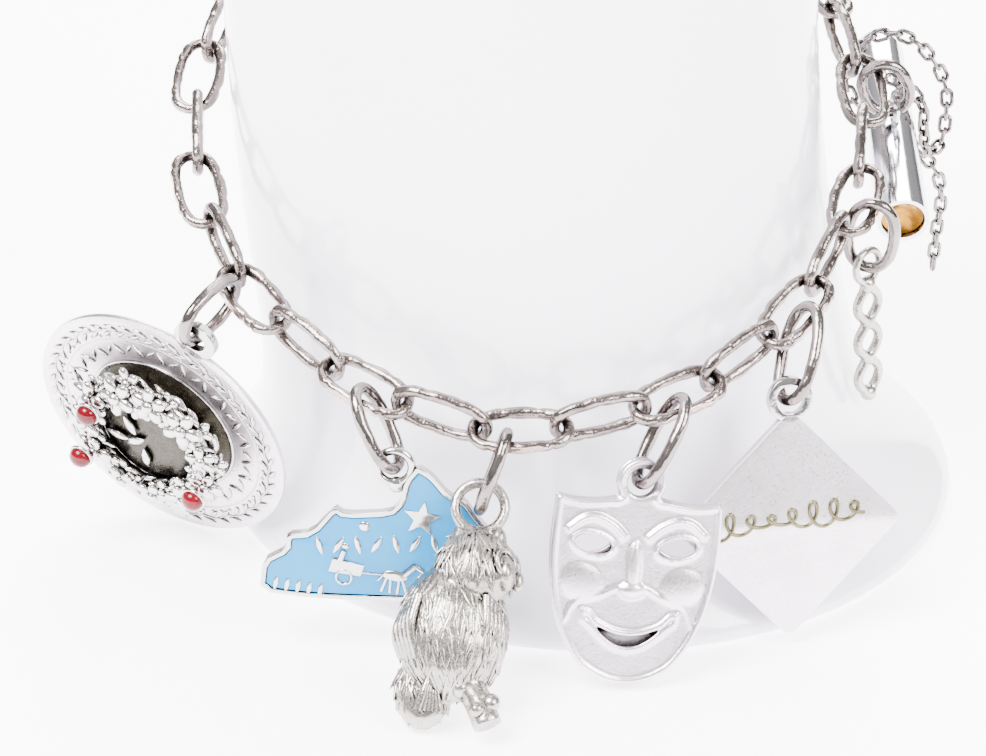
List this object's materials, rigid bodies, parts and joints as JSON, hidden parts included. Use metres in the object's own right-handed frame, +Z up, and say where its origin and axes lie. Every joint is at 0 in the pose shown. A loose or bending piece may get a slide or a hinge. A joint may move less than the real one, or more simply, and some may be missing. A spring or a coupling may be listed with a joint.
{
  "type": "charm bracelet on display stand",
  "caption": "Cable-link silver bracelet with hanging charms, closed round a plain flared column stand.",
  "frame": {"origin": "centre of the flat underside of the stand's foot", "axes": "+Z up the column, the front with the charms faces -Y, the tube charm hangs at +X"},
  "size_m": [0.0786, 0.0783, 0.085],
  "materials": {
    "tarnished_silver": "tarnished cast silver",
    "bright_silver": "polished silver",
    "matte_silver": "frosted silver",
    "antique_silver": "cast silver with dark hollows",
    "dark_silver": "oxidised silver",
    "blue_enamel": "glossy enamel",
    "red_glass": "polished glass",
    "gilt": "satin gilt brass",
    "stand_white": "smooth gloss white"
  },
  "bodies": {
    "root": {"stand": "stand_white", "link_01": "tarnished_silver", "link_02": "tarnished_silver", "link_03": "tarnished_silver", "link_04": "tarnished_silver", "link_05": "tarnished_silver", "link_06": "tarnished_silver", "link_07": "tarnished_silver", "link_08": "tarnished_silver", "link_09": "tarnished_silver", "link_10": "tarnished_silver", "link_11": "tarnished_silver", "link_12": "tarnished_silver", "link_13": "tarnished_silver", "link_14": "tarnished_silver", "link_15": "tarnished_silver", "link_16": "tarnished_silver", "link_17": "tarnished_silver", "link_18": "tarnished_silver", "link_19": "tarnished_silver", "link_20": "tarnished_silver", "link_21": "tarnished_silver", "link_22": "tarnished_silver", "link_23": "tarnished_silver", "link_24": "tarnished_silver", "link_25": "tarnished_silver", "link_26": "tarnished_silver", "link_27": "tarnished_silver", "link_28": "tarnished_silver", "link_29": "tarnished_silver", "clasp": "tarnished_silver", "hat_ring": "bright_silver", "state_ring": "bright_silver", "owl_ring": "bright_silver", "mask_ring": "bright_silver", "plaque_ring": "bright_silver", "openwork_ring": "bright_silver", "tube_ring": "bright_silver", "hat_brim": "matte_silver", "hat_crown": "dark_silver", "hat_wreath": "bright_silver", "hat_stone_1": "red_glass", "hat_stone_2": "red_glass", "hat_stone_3": "red_glass", "state_plate": "bright_silver", "state_enamel": "blue_enamel", "owl": "antique_silver", "mask_front": "matte_silver", "mask_back": "matte_silver", "plaque": "matte_silver", "openwork_drop": "antique_silver", "tube_barrel": "bright_silver", "tube_disc": "gilt", "safety_chain": "bright_silver"}
  },
  "joints": []
}
